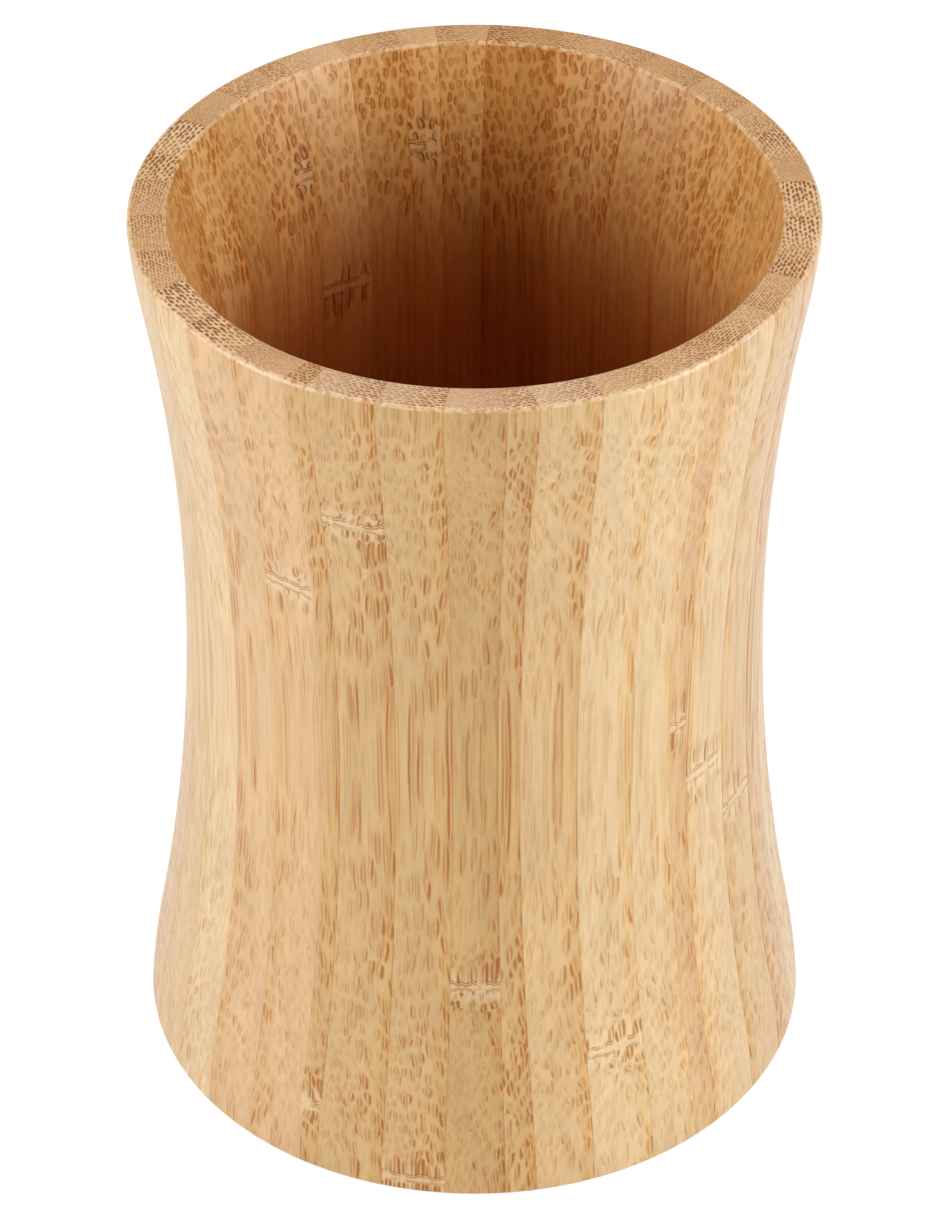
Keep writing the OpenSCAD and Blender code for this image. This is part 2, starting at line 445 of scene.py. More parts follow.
def bamboo_grain():
    """The node group that every bamboo material shares."""
    tree = bpy.data.node_groups.new("Bamboo grain", "ShaderNodeTree")
    inputs = {"Color": ("Ground", "Fibre", "Core", "Cut"), "Float": ("End grain",)}
    outputs = {"Color": ("Color",), "Float": ("Roughness", "Height", "Gloss")}
    given, result = sockets_of(tree, inputs, outputs)
    across, depth, along = stored(tree, "grain")
    edges = stored(tree, "edges")
    spacing, strength, reach = stored(tree, "habit")

    # Which way the surface faces: up, where the end grain shows, or out or in. On the outside the
    # drops are shorter, and on the inside the big ones reach further across and stand closer.
    shorter_outside, further_inside, closer_inside = 0.45, 2.5, 0.17
    place = put(tree, "ShaderNodeTexCoord").outputs
    facing = split(tree, place["Normal"])
    in_plan = reckon_vectors(tree, "MULTIPLY", place["Object"], (1, 1, 0))[0]
    outwards = reckon_vectors(tree, "DOT_PRODUCT", in_plan, place["Normal"])["Value"]
    outside = reckon(tree, "GREATER_THAN", outwards, 0.0)
    upright = size_of(tree, facing[2])
    end = times(tree, fade(tree, upright, *END_GRAIN_FROM), given["End grain"])
    off_end = rest_of(tree, end)
    inside = times(tree, rest_of(tree, outside), off_end)
    cut_depth = depth
    depth = times(tree, depth, sloped(tree, outside, shorter_outside, 1.0))
    reach = sloped(tree, inside, further_inside, reach)
    spacing = times(tree, spacing, sloped(tree, inside, -closer_inside, 1.0))

    # The fibres wander a little, and swing aside where a node of the cane crosses the slat.
    wander, wander_at_scar, wander_through, crowding = 0.9, 1.4, 0.5, 0.12
    wave_height, ripple_height, wobbling = 0.9, 1.5, 0.4
    sway = split(tree, noise(tree, across, depth, along, SWAY, FINE_DETAIL)["Color"])
    ripple = noise(tree, across, depth, 0.0, RIPPLE)
    wobble = split(tree, ripple["Color"])
    wave = times(tree, centred(tree, sway[2]), wave_height)
    wave = sloped(tree, centred(tree, ripple[0]), ripple_height, wave)
    level = plus(tree, edges[1], wave)
    near_scar = fade(tree, size_of(tree, level), *SCAR_SWIRL)
    swing = sloped(tree, near_scar, wander_at_scar, wander)
    bent_across = plus(tree, across, times(tree, centred(tree, sway[0]), swing))
    bent_across = sloped(tree, centred(tree, wobble[0]), wobbling, bent_across)
    bent_depth = plus(tree, depth, times(tree, centred(tree, sway[1]), wander_through))
    bent_depth = sloped(tree, times(tree, near_scar, crowding), edges[1], bent_depth)
    bent_depth = sloped(tree, centred(tree, wobble[2]), wobbling, bent_depth)

    # Three sizes of strand side by side across the slat, and swollen ones where a scar is near.
    lips_lean, lean_less_outside, core_inside, long_outside = 0.85, 0.25, 0.15, 0.5
    far_reach = plus(tree, reach, MIDDLE_REACH)

    def jittered(middle, chance):
        return sloped(tree, centred(tree, chance), BORDER_JITTER, middle)

    def is_big(middle, chance):
        return reckon(tree, "LESS_THAN", jittered(middle, chance), reach)

    def is_middle(middle, chance):
        middle = jittered(middle, chance)
        past = reckon(tree, "GREATER_THAN", middle, reach)
        return times(tree, past, reckon(tree, "LESS_THAN", middle, far_reach))

    def is_small(middle, chance):
        return reckon(tree, "GREATER_THAN", jittered(middle, chance), far_reach)

    def is_any(middle, chance):
        return 1.0

    closing = sloped(tree, outside, -lean_less_outside, lips_lean)
    lip, core, halo = 0.0, 0.0, 0.0
    for (pitch, half, gain), keep in zip(STRAND_SIZES, (is_big, is_middle, is_small)):
        parts = strands(tree, bent_across, bent_depth, spacing, pitch, half, keep, closing)
        lip = sloped(tree, parts[0], gain, lip)
        core = sloped(tree, parts[1], gain, core)
        halo = sloped(tree, parts[2], gain, halo)
    lip = sloped(tree, times(tree, core, inside), core_inside, lip)
    swollen = strands(tree, bent_across, bent_depth, 1.0, *SCAR_STRANDS, is_any, closing)
    long_scar = sloped(tree, inside, 1.0 - long_outside, long_outside)
    long_scar = times(tree, long_scar, fade(tree, across, *LONG_SCAR_SIDE))
    ends = zip(LONG_SCAR_ADDS, SCAR_STRANDS_END)
    ends = [sloped(tree, long_scar, more, end_at) for more, end_at in ends]
    at_scar = fade(tree, size_of(tree, plus(tree, level, SCAR_STRANDS_BELOW)), *ends)
    lip = sloped(tree, minus(tree, swollen[0], lip), at_scar, lip)
    halo = sloped(tree, minus(tree, swollen[2], halo), at_scar, halo)

    # Fine hairs of fibre, broad bands of tone up the slat, and soft clouds.
    hair_shade, band_shade, mottle_shade, more_inside, warmer_inside = 0.3, 0.32, 0.2, 0.25, 0.3
    hairs = noise(tree, bent_across, bent_depth, along, HAIRS, FINE_DETAIL, FINE_ROUGHNESS)[0]
    bands = noise(tree, across, depth, along, BANDS, FINE_DETAIL, FINE_ROUGHNESS)[0]
    mottle = noise(tree, across, depth, along, MOTTLE)[0]
    shade = sloped(tree, centred(tree, hairs), hair_shade, 1.0)
    shade = sloped(tree, centred(tree, bands), band_shade, shade)
    mottling = sloped(tree, inside, more_inside, mottle_shade)
    shade = sloped(tree, centred(tree, mottle), mottling, shade)
    ground = colour_mix(tree, times(tree, inside, warmer_inside), given["Ground"], paint(INNER_GROUND))
    ground = tinted(tree, ground, shade)

    # Strands: dark lips and a painted highlight in the core, stronger beside the seam that the big
    # ones lie along, and softer deep inside the cup.
    halo_warmth, core_highlight_shows, darkness, darker_inside, darker_at_scar = 0.55, 0.1, 1.08, 0.02, 0.6
    burnt_outside, burnt_inside, gap_paler, browner_inside = 0.05, 0.5, 0.9, 0.6
    clusters = noise(tree, across, depth, along, CLUSTERS)[0]
    strength = times(tree, strength, fade(tree, clusters, *CLUSTER_STRENGTH))
    strength = times(tree, strength, fade(tree, across, *SEAM_STRENGTH))
    deep_down = times(tree, inside, fade(tree, along, *STREAKS_SOFTEN))
    deep_down = times(tree, deep_down, rest_of(tree, at_scar))
    strength = times(tree, strength, rest_of(tree, deep_down))
    warm = times(tree, halo, times(tree, strength, halo_warmth))
    warm = plus(tree, warm, fade(tree, across, *SEAM_WARMTH))
    warm = times(tree, warm, off_end)
    warm = colour_mix(tree, at_most_1(tree, warm), WHITE, WARM_HALO)
    ground = tinted(tree, ground, warm)
    strokes = times(tree, strength, sloped(tree, inside, darker_inside, darkness))
    dark = times(tree, lip, strokes)
    dark = times(tree, dark, sloped(tree, at_scar, darker_at_scar, 1.0))
    gap = fade(tree, size_of(tree, plus(tree, level, SCAR_GAP_BELOW)), *SCAR_GAP)
    dark = times(tree, dark, sloped(tree, gap, -gap_paler, 1.0))
    dark = at_most_1(tree, times(tree, dark, off_end))
    burnt = times(tree, near_scar, sloped(tree, inside, burnt_inside, burnt_outside))
    fibre = colour_mix(tree, times(tree, inside, browner_inside), given["Fibre"], paint(INNER_FIBRE))
    fibre = colour_mix(tree, burnt, fibre, paint(BURNT_FIBRE))
    colour = colour_mix(tree, dark, ground, fibre)
    # Painted highlight in the cores of strands on the outside of the cup.
    pale = times(tree, core, times(tree, strength, core_highlight_shows))
    pale = times(tree, pale, times(tree, outside, off_end))
    colour = colour_mix(tree, at_most_1(tree, pale), colour, given["Core"])

    # End grain on the rim: the cut strands stand as rows of dark specks in a paler, matt ground. It
    # is paler still where the specks are strong; along the rim's sanded edges lies a painted highlight.
    finest_specks, coarser_by, cut_shows, speck_shows, edge_highlight_shows = 0.35, 0.8, 0.4, 0.85, 0.4
    coarse = sloped(tree, edges[2], coarser_by, finest_specks)
    speck = strands(tree, bent_across, cut_depth, coarse, *RIM_SPECKS, is_any, 1.0, SPECKS_SCATTER)[2]
    deep = times(tree, fade(tree, across, *SPECKS_ACROSS), edges[2])
    speck = at_most_1(tree, times(tree, speck, deep))
    cut = colour_mix(tree, cut_shows, tinted(tree, ground, CUT_FIBRES), given["Cut"])
    cut = colour_mix(tree, fade(tree, edges[2], *SPECKED_PALE), cut, paint(SPECKED_GROUND))
    cut = colour_mix(tree, times(tree, speck, speck_shows), cut, paint(SPECK))
    colour = colour_mix(tree, end, colour, cut)
    # Painted highlight along the rounded, sanded edges of the rim, broken up by noise.
    edge = times(tree, fade(tree, upright, *EDGE_HIGHLIGHT_FROM), fade(tree, upright, *EDGE_HIGHLIGHT_TO))
    edge = times(tree, edge, times(tree, given["End grain"], fade(tree, ripple[0], *EDGE_HIGHLIGHT_BREAKS)))
    colour = colour_mix(tree, times(tree, edge, edge_highlight_shows), colour, paint(EDGE_WEAR_AND_HIGHLIGHT))

    # The glue seams: broken dashes of dark fibre on the strong side, a faint line on the other.
    strong_shows, open_shows, raggedness, mean_hair = 0.45, 0.18, 0.5, 0.45
    ragged = times(tree, minus(tree, hairs, mean_hair), raggedness)
    strong_line = fade(tree, plus(tree, across, ragged), *STRONG_SEAM)
    open_line = fade(tree, edges[0], *OPEN_SEAM)
    colour = colour_mix(tree, times(tree, strong_line, strong_shows), colour, given["Fibre"])
    colour = colour_mix(tree, times(tree, open_line, open_shows), colour, given["Fibre"])

    # The scar of a node: broken dark lines and a fold across pale ground, with the swollen strands
    # above and below.
    straighter, glow_shows, scar_shows, fold_shows = 0.9, 0.3, 0.85, 0.5
    patch = fade(tree, wobble[1], *SCAR_BROKEN)
    scar = size_of(tree, minus(tree, size_of(tree, level), SCAR_LINES_APART))
    scar = times(tree, fade(tree, scar, *SCAR_LINE), patch)
    fold = plus(tree, sloped(tree, wave, -straighter, edges[1]), SCAR_FOLD_BELOW)
    fold = times(tree, fade(tree, size_of(tree, fold), *SCAR_FOLD), patch)
    glow = fade(tree, size_of(tree, plus(tree, level, SCAR_GLOW_BELOW)), *SCAR_GLOW)
    glow = times(tree, glow, rest_of(tree, dark))
    colour = colour_mix(tree, times(tree, glow, glow_shows), colour, given["Core"])
    colour = colour_mix(tree, times(tree, scar, scar_shows), colour, fibre)
    colour = colour_mix(tree, times(tree, fold, fold_shows), colour, fibre)

    # Painted shade and bounced light inside the cup: warm under the mouth, darkest deep in the bore.
    painted_shade = colour_mix(tree, fade(tree, along, *PAINTED_SHADE_DEEPENS), PAINTED_SHADE_AT_MOUTH, PAINTED_SHADE_IN_BORE)
    painted_shade = colour_mix(tree, times(tree, inside, given["End grain"]), WHITE, painted_shade)
    colour = tinted(tree, colour, painted_shade)

    tree.links.new(colour, result["Color"])

    # Strands and hairs make the varnish a little rougher and stand in faint relief under it.
    rough = sloped(tree, hairs, HAIRS_ROUGHEN, VARNISH_ROUGHNESS)
    tree.links.new(sloped(tree, lip, STRANDS_ROUGHEN, rough), result["Roughness"])
    lips_sink, cores_rise, hairs_rise, scars_sink, specks_sink = 0.5, 0.35, 0.2, 0.8, 0.15
    height = sloped(tree, lip, -lips_sink, times(tree, core, cores_rise))
    height = sloped(tree, hairs, hairs_rise, height)
    height = sloped(tree, scar, -scars_sink, height)
    height = sloped(tree, times(tree, speck, end), -specks_sink, height)
    tree.links.new(height, result["Height"])
    tree.links.new(sloped(tree, end, -GLOSS_LOST_ON_END, GLOSS), result["Gloss"])
    return tree


BAMBOO_GRAIN = bamboo_grain()
BUMP_HEIGHT = 0.008
VARNISH_IOR = 1.5
COAT_ROUGHNESS = 0.3
BROWN_CUT = "#dfb68a"
PALE_CUT = "#f6d9bd"
# For each tone of bamboo: the colours of its ground, of its strands and of its cut ends.
TONES = {
    "pale": ("#dfc092", "#b87410", BROWN_CUT),
    "straw": ("#d8b583", "#b16e0c", BROWN_CUT),
    "oat": ("#d8b583", "#b16e0c", PALE_CUT),
    "rose": ("#d7b182", "#b0690c", BROWN_CUT),
    "honey": ("#ceaa75", "#ab660a", BROWN_CUT),
    "wheat": ("#ceaa75", "#ab660a", PALE_CUT),
    "gold": ("#c7a168", "#a25c08", BROWN_CUT),
    "amber": ("#c7a168", "#a25c08", PALE_CUT),
    "smoked": ("#b9884a", "#8a480a", BROWN_CUT),
}


def bamboo(name, ground, fibre, cut, end_grain):
    """A bamboo of one tone under a thin coat of satin varnish. end_grain is 0 where it has none."""
    material = bpy.data.materials.new("Bamboo " + name)
    material.use_nodes = True
    tree = material.node_tree
    tree.nodes.clear()
    pattern = put(tree, "ShaderNodeGroup", node_tree=BAMBOO_GRAIN)
    feed_named(tree, pattern, Ground=paint(ground), Fibre=paint(fibre), Core=paint(PALE_GROUND_AND_HIGHLIGHT))
    feed_named(tree, pattern, Cut=paint(cut), End_grain=end_grain)
    drawn = pattern.outputs
    relief = put(tree, "ShaderNodeBump")
    feed_named(tree, relief, Strength=1.0, Distance=BUMP_HEIGHT * MM, Height=drawn["Height"])
    shader = put(tree, "ShaderNodeBsdfPrincipled")
    feed_named(tree, shader, Base_Color=drawn["Color"], Roughness=drawn["Roughness"])
    feed_named(tree, shader, Normal=relief.outputs["Normal"])
    feed_named(tree, shader, IOR=VARNISH_IOR, Coat_Roughness=COAT_ROUGHNESS)
    gloss = drawn["Gloss"] if end_grain else GLOSS
    feed_named(tree, shader, Specular_IOR_Level=gloss, Coat_Weight=gloss)
    put(tree, "ShaderNodeOutputMaterial", shader.outputs[0])
    return material


# Wall of the cup: 37 upright staves of laminated bamboo, glued side by side into a ring. Each has
# its own heading, width, tone and grain, and four of them are slivers where two blocks met. Twelve
# show the scar of a node of the cane. Their edges are eased by a hair, in millimetres.
STAVE_COLUMNS = 13
EASED_WIDTH = 0.12
EASED_DEPTH = 0.03
CRISP_ANGLE = 34
WELD_WITHIN = 0.001
GRAIN_STEP = 71.3
PER_METRE = 1000.0
# For each stave: its left seam as the angle in degrees round the rim, outside and inside, its tone,
# the seam that its big strands lie along, the spacing and the strength of its strands, how far the
# big ones reach, the strength of the specks on the rim, and the height of its node scar.
STAVES = (
    (-5, -4.3, "amber", "right", 0.9, 0.7, 1.2, 0.5, 29),
    (5.2, 4.6, "wheat", "right", 0.95, 0.85, 3.2, 0.8, None),
    (10.4, 8.9, "oat", "right", 1.1, 0.62, 2.6, 0.8, None),
    (20.9, 20.1, "pale", "right", 1.1, 0.5, 2.6, 0.7, 18),
    (32.3, 31.6, "pale", "right", 1.1, 0.48, 2.4, 0.75, None),
    (41.6, 41.2, "rose", "right", 0.95, 0.5, 3.0, 0.8, 58),
    (46.3, 45.5, "pale", "left", 1.05, 0.5, 2.8, 0.8, 49.5),
    (57.4, 57, "straw", "left", 1.05, 0.5, 2.8, 0.7, 41),
    (68.4, 68.2, "rose", "left", 1.1, 0.8, 2.6, 1.05, None),
    (77.5, 77.4, "pale", "right", 1.1, 0.8, 2.4, 1.15, None),
    (87.2, 86.6, "rose", "right", 1.1, 0.8, 2.6, 1.2, None),
    (97.8, 98.4, "honey", "right", 1.0, 0.5, 2.4, 0.5, None),
    (106, 106, "straw", "right", 1.1, 0.85, 2.4, 0.95, None),
    (114.7, 114.9, "straw", "left", 1.05, 0.85, 2.6, 0.7, None),
    (124.4, 123.8, "honey", "left", 1.05, 0.85, 2.6, 0.7, None),
    (135.1, 134.9, "gold", "left", 1.05, 0.75, 2.8, 0.65, None),
    (146.2, 147.4, "honey", "left", 1.05, 0.85, 2.6, 0.75, None),
    (154, 154.2, "honey", "right", 1.1, 0.85, 2.6, 0.75, None),
    (164.4, 163.9, "smoked", "right", 1.0, 1.1, 4.2, 0.9, None),
    (177.2, 177.8, "honey", "right", 0.9, 0.85, 1.5, 0.7, None),
    (187, 187.1, "straw", "right", 0.8, 0.6, 1.5, 0.5, 99),
    (194.5, 194.3, "honey", "left", 1.05, 0.85, 2.8, 0.7, None),
    (205.7, 205.2, "pale", "right", 1.1, 0.6, 2.0, 0.55, 83.5),
    (217.2, 217.2, "straw", "right", 1.0, 0.9, 2.4, 0.8, 99),
    (221.6, 221.8, "straw", "right", 1.05, 0.85, 2.6, 0.75, None),
    (230.9, 230.4, "honey", "right", 1.0, 0.7, 1.2, 0.5, None),
    (241.8, 241.7, "pale", "left", 1.1, 0.95, 2.6, 1.2, None),
    (252.5, 253.4, "honey", "left", 1.1, 0.9, 2.8, 1.2, None),
    (261.7, 261.6, "rose", "left", 1.05, 0.7, 2.6, 0.8, None),
    (272.8, 272.4, "rose", "left", 1.05, 0.6, 2.6, 0.75, None),
    (283.6, 284.4, "straw", "left", 1.05, 0.4, 2.6, 0.8, None),
    (295.5, 294.2, "pale", "left", 1.1, 0.5, 2.4, 1.2, None),
    (306.5, 306.5, "rose", "left", 1.1, 0.55, 2.6, 1.2, None),
    (317.5, 318, "rose", "left", 1.05, 0.5, 2.2, 0.6, 80),
    (328, 329, "honey", "right", 0.95, 0.75, 9.0, 0.85, 9.5),
    (332, 333, "wheat", "right", 1.05, 0.8, 2.8, 0.85, 92),
    (344, 344.7, "wheat", "right", 1.05, 0.8, 2.8, 0.85, 2.5),
)
FAR_FROM_A_SCAR = 500.0
TONE_SLOTS = {
    "pale": "bamboo_pale",
    "smoked": "bamboo_brown",
    **dict.fromkeys(("straw", "oat", "rose"), "bamboo_straw"),
    **dict.fromkeys(("honey", "wheat", "gold", "amber"), "bamboo_honey"),
}
SEAM_SOCKETS = ("Left seam heading", "Left seam offset", "Right seam heading", "Right seam offset")
JUST_INSIDE_SEAM = 0.4999


def around_the_cup():
    """Node group that sets a point of the section between the two seams of a stave."""
    tree = bpy.data.node_groups.new("Around the cup", "GeometryNodeTree")
    floats = ("Across", "Eased depth", *SEAM_SOCKETS)
    inputs = {"Vector": ("Outline point", "Inward"), "Float": floats}
    given, result = sockets_of(tree, inputs, {"Vector": ("Place",)})
    off_middle = size_of(tree, centred(tree, given["Across"]))
    at_seam = reckon(tree, "GREATER_THAN", off_middle, JUST_INSIDE_SEAM)
    easing = times(tree, at_seam, given["Eased depth"])
    eased = reckon_vectors(tree, "SCALE", given["Inward"], None, None, easing)[0]
    eased = reckon_vectors(tree, "ADD", given["Outline point"], eased)[0]
    radius, height, _ = split(tree, eased)
    angles = []
    for side in ("Left", "Right"):
        swing = reckon(tree, "ARCSINE", reckon(tree, "DIVIDE", given[side + " seam offset"], radius))
        angles.append(plus(tree, given[side + " seam heading"], swing))
    width = minus(tree, angles[1], angles[0])
    angle = sloped(tree, given["Across"], width, angles[0])
    x = times(tree, radius, reckon(tree, "SINE", angle))
    y = times(tree, times(tree, radius, reckon(tree, "COSINE", angle)), -1.0)
    tree.links.new(vector_of(tree, x, y, height), result["Place"])
    return tree


def rolled_out(tree, section, columns):
    """A grid with one row for each point of a section and one more to close it.

    Returns it with the column of each of its points, and with the place and the inward way of the
    section, first for use on the section itself and then for use on the grid."""
    rows = put(tree, "GeometryNodeAttributeDomainSize", section).outputs["Point Count"]
    rows_closed = plus(tree, rows, 1.0)
    grid = put(tree, "GeometryNodeMeshGrid", 1.0, 1.0, columns, rows_closed).outputs["Mesh"]
    index = put(tree, "GeometryNodeInputIndex").outputs[0]
    column = reckon(tree, "FLOOR", reckon(tree, "DIVIDE", plus(tree, index, 0.5), rows_closed))
    row = reckon(tree, "MODULO", minus(tree, index, times(tree, column, rows_closed)), rows)
    position = put(tree, "GeometryNodeInputPosition").outputs[0]
    inward = put(tree, "GeometryNodeInputNamedAttribute", "inward", data_type="FLOAT_VECTOR").outputs[0]
    sampled = []
    for field in (position, inward):
        sample = put(tree, "GeometryNodeSampleIndex", data_type="FLOAT_VECTOR", domain="POINT")
        sampled.append(feed_named(tree, sample, Geometry=section, Value=field, Index=row).outputs[0])
    return grid, column, (position, inward), sampled


def moved(tree, mesh, place):
    return put(tree, "GeometryNodeSetPosition", mesh, None, place).outputs[0]


def turned_over(tree, mesh):
    return put(tree, "GeometryNodeFlipFaces", mesh).outputs[0]


def welded(tree, *parts):
    """Joins meshes that meet at their edges into one closed skin."""
    whole = put(tree, "GeometryNodeJoinGeometry")
    for part in parts:
        tree.links.new(part, whole.inputs[0])
    merge = put(tree, "GeometryNodeMergeByDistance", whole.outputs[0])
    return feed_named(tree, merge, Distance=WELD_WITHIN * MM).outputs[0]


def varnished(tree, mesh, grain, edges, given):
    """Stores where every point lies in the cane, and gives the piece its material."""
    for name, value in (("grain", grain), ("edges", edges), ("habit", given["Habit"])):
        store = put(tree, "GeometryNodeStoreNamedAttribute", mesh, domain="POINT")
        store.data_type = "FLOAT_VECTOR"
        mesh = feed_named(tree, store, Name=name, Value=value).outputs[0]
    real = put(tree, "GeometryNodeRealizeInstances", mesh).outputs[0]
    return put(tree, "GeometryNodeSetMaterial", real, None, given["Material"]).outputs[0]


def turned_stave():
    """Geometry Nodes tree that sweeps the section of the wall from one seam to the next."""
    tree = bpy.data.node_groups.new("Turned stave", "GeometryNodeTree")
    floats = (*SEAM_SOCKETS, "Eased width", "Eased depth", "Grain shift", "Specks", "Scar height")
    inputs = {"Geometry": ("Section",), "Float": floats, "Int": ("Columns",)}
    inputs |= {"Bool": ("Strong on the right",), "Vector": ("Habit",), "Material": ("Material",)}
    given, result = sockets_of(tree, inputs, {"Geometry": ("Stave",)})
    grid, column, on_section, on_grid = rolled_out(tree, given["Section"], given["Columns"])
    position = on_section[0]
    inner = reckon(tree, "DIVIDE", minus(tree, column, 1.0), minus(tree, given["Columns"], 3.0))
    span = sloped(tree, given["Eased width"], -2.0, 1.0)
    across = sloped(tree, inner, span, given["Eased width"])
    across = reckon(tree, "MINIMUM", reckon(tree, "MAXIMUM", across, 0.0), 1.0)

    def placed(mesh, point, inwards, share):
        group = put(tree, "GeometryNodeGroup", node_tree=AROUND_THE_CUP)
        feed_named(tree, group, Outline_point=point, Inward=inwards, Across=share)
        for name in ("Eased depth", *SEAM_SOCKETS):
            tree.links.new(given[name], group.inputs[name])
        return moved(tree, mesh, group.outputs[0])

    skin_side = placed(grid, *on_grid, across)
    left_face = placed(given["Section"], *on_section, 0.0)
    right_face = turned_over(tree, placed(given["Section"], *on_section, 1.0))
    whole = welded(tree, skin_side, left_face, right_face)
    edge_angle = put(tree, "GeometryNodeInputMeshEdgeAngle").outputs["Unsigned Angle"]
    is_crisp = reckon(tree, "GREATER_THAN", edge_angle, math.radians(CRISP_ANGLE))
    smooth = put(tree, "GeometryNodeSetShadeSmooth", whole, None, True, domain="FACE")
    crisp = put(tree, "GeometryNodeSetShadeSmooth", smooth.outputs[0], is_crisp, False, domain="EDGE")

    # Where every point lies in the cane: across the slat from its strong seam, through it, and
    # along it, all in millimetres.
    flag = given["Strong on the right"]
    side = sloped(tree, flag, -2.0, 1.0)

    def chosen(when_left, when_right):
        return put(tree, "GeometryNodeSwitch", flag, when_left, when_right, input_type="FLOAT").outputs[0]

    def from_seam(heading_socket, offset_socket, sign):
        cosine = reckon(tree, "COSINE", heading_socket)
        sine = reckon(tree, "SINE", heading_socket)
        normal = vector_of(tree, cosine, sine)
        along_seam = vector_of(tree, sine, times(tree, cosine, -1.0))
        off = reckon_vectors(tree, "DOT_PRODUCT", position, normal)["Value"]
        off = times(tree, minus(tree, off, offset_socket), sign)
        way = reckon_vectors(tree, "DOT_PRODUCT", position, along_seam)["Value"]
        return times(tree, off, PER_METRE), times(tree, way, PER_METRE)

    left = (given["Left seam heading"], given["Left seam offset"])
    right = (given["Right seam heading"], given["Right seam offset"])
    strong_gap, depth = from_seam(chosen(left[0], right[0]), chosen(left[1], right[1]), side)
    open_side = times(tree, side, -1.0)
    open_gap, _ = from_seam(chosen(right[0], left[0]), chosen(right[1], left[1]), open_side)
    height = times(tree, split(tree, position)[2], PER_METRE)
    grain = vector_of(tree, strong_gap, plus(tree, depth, given["Grain shift"]), height)
    edges = vector_of(tree, open_gap, minus(tree, height, given["Scar height"]), given["Specks"])
    tree.links.new(varnished(tree, crisp.outputs[0], grain, edges, given), result["Stave"])
    return tree


def grown(name, mesh, tree, values):
    """Runs a Geometry Nodes tree on a mesh and returns a plain object with the result."""
    former = bpy.data.objects.new(name + " former", mesh)
    scene.collection.objects.link(former)
    modifier = former.modifiers.new("Shape", "NODES")
    modifier.node_group = tree
    for item in tree.interface.items_tree:
        if item.in_out == "INPUT" and item.name in values:
            modifier[item.identifier] = values[item.name]
    graph = bpy.context.evaluated_depsgraph_get()
    result = bpy.data.meshes.new_from_object(former.evaluated_get(graph))
    former.modifiers.remove(modifier)
    bpy.data.objects.remove(former)
    result.materials.clear()
    result.materials.append(values["Material"])
    result.polygons.foreach_set("material_index", [0] * len(result.polygons))
    result.name = name
    piece = bpy.data.objects.new(name, result)
    scene.collection.objects.link(piece)
    return piece


def seam_line(outer, inner):
    """Heading of a seam in plan, in radians, and its distance from the axis, in metres."""
    start, stop = math.radians(inner), math.radians(outer)
    run_x = RIM_RADIUS * math.sin(stop) - MOUTH_RADIUS * math.sin(start)
    run_y = -RIM_RADIUS * math.cos(stop) + MOUTH_RADIUS * math.cos(start)
    way = math.atan2(run_x, -run_y)
    near = (stop - way + math.pi) % math.tau - math.pi
    way = stop - near
    offset = MOUTH_RADIUS * (math.sin(start) * math.cos(way) - math.cos(start) * math.sin(way))
    return way, offset * MM


AROUND_THE_CUP = around_the_cup()
TURNED_STAVE = turned_stave()
wall_section = section_mesh("Wall section", wall_outline())
stave_bamboo = {tone: bamboo(tone, *codes, 1.0) for tone, codes in TONES.items()}

for number, stave in enumerate(STAVES, 1):
    outer, inner, tone, strong, spacing, strength, reach, specks, scar = stave
    following = STAVES[number % len(STAVES)]
    lap = 360 if number == len(STAVES) else 0
    seams = seam_line(outer, inner) + seam_line(following[0] + lap, following[1] + lap)
    piece = grown(
        f"turned_stave_{number:02d}",
        wall_section,
        TURNED_STAVE,
        {
            **dict(zip(SEAM_SOCKETS, seams)),
            "Columns": STAVE_COLUMNS,
            "Eased width": EASED_WIDTH / (RIM_RADIUS * math.radians(following[0] + lap - outer)),
            "Eased depth": EASED_DEPTH * MM,
            "Strong on the right": strong == "right",
            "Grain shift": GRAIN_STEP * number,
            "Habit": (spacing, strength, reach),
            "Specks": specks,
            "Scar height": -FAR_FROM_A_SCAR if scar is None else float(scar),
            "Material": stave_bamboo[tone],
        },
    )
    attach(piece, "root")
    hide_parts(f"stave_{number:02d}")

# Base of the cup: nine flat slats of bamboo glued edge to edge into a disc, which drops on the seat
# cut into the staves. Their edges are eased by a hair, so that the seams show as fine lines. Sizes
# are in millimetres.
BASE_THICKNESS = 6
BASE_RECESS = 1
BASE_RADIUS = 31.0
BASE_SLATS = 9
BASE_EASING = 0.12
BASE_STEPS = 14
BASE_STATIONS = 4
BASE_GRAIN_STEP = 53.7
BASE_GRAIN_START = 3000
BASE_STRENGTH = 0.7
# For each slat: its tone, the side its big strands lie along, and their spacing and reach.
FLOOR_SLATS = (
    ("straw", "left", 1.0, 2.2),
    ("honey", "right", 1.05, 2.6),
    ("pale", "right", 1.1, 2.0),
    ("gold", "left", 1.0, 2.8),
    ("rose", "right", 1.1, 2.2),
    ("straw", "left", 1.05, 2.4),
    ("pale", "left", 1.1, 2.0),
    ("honey", "right", 1.0, 2.6),
    ("straw", "left", 1.05, 2.2),
)


def slat_outline(left, right):
    """Section of a slat of the base, with its long edges eased: x and z in millimetres."""
    low, high = BASE_RECESS, BASE_RECESS + BASE_THICKNESS
    start, width = left + BASE_EASING, right - left - 2 * BASE_EASING
    stations = [start + width * i / BASE_STEPS for i in range(BASE_STEPS + 1)]
    points = [(x, low) for x in stations]
    points += [(right, low + BASE_EASING), (right, high - BASE_EASING)]
    points += [(x, high) for x in reversed(stations)]
    points += [(left, high - BASE_EASING), (left, low + BASE_EASING)]
    return points


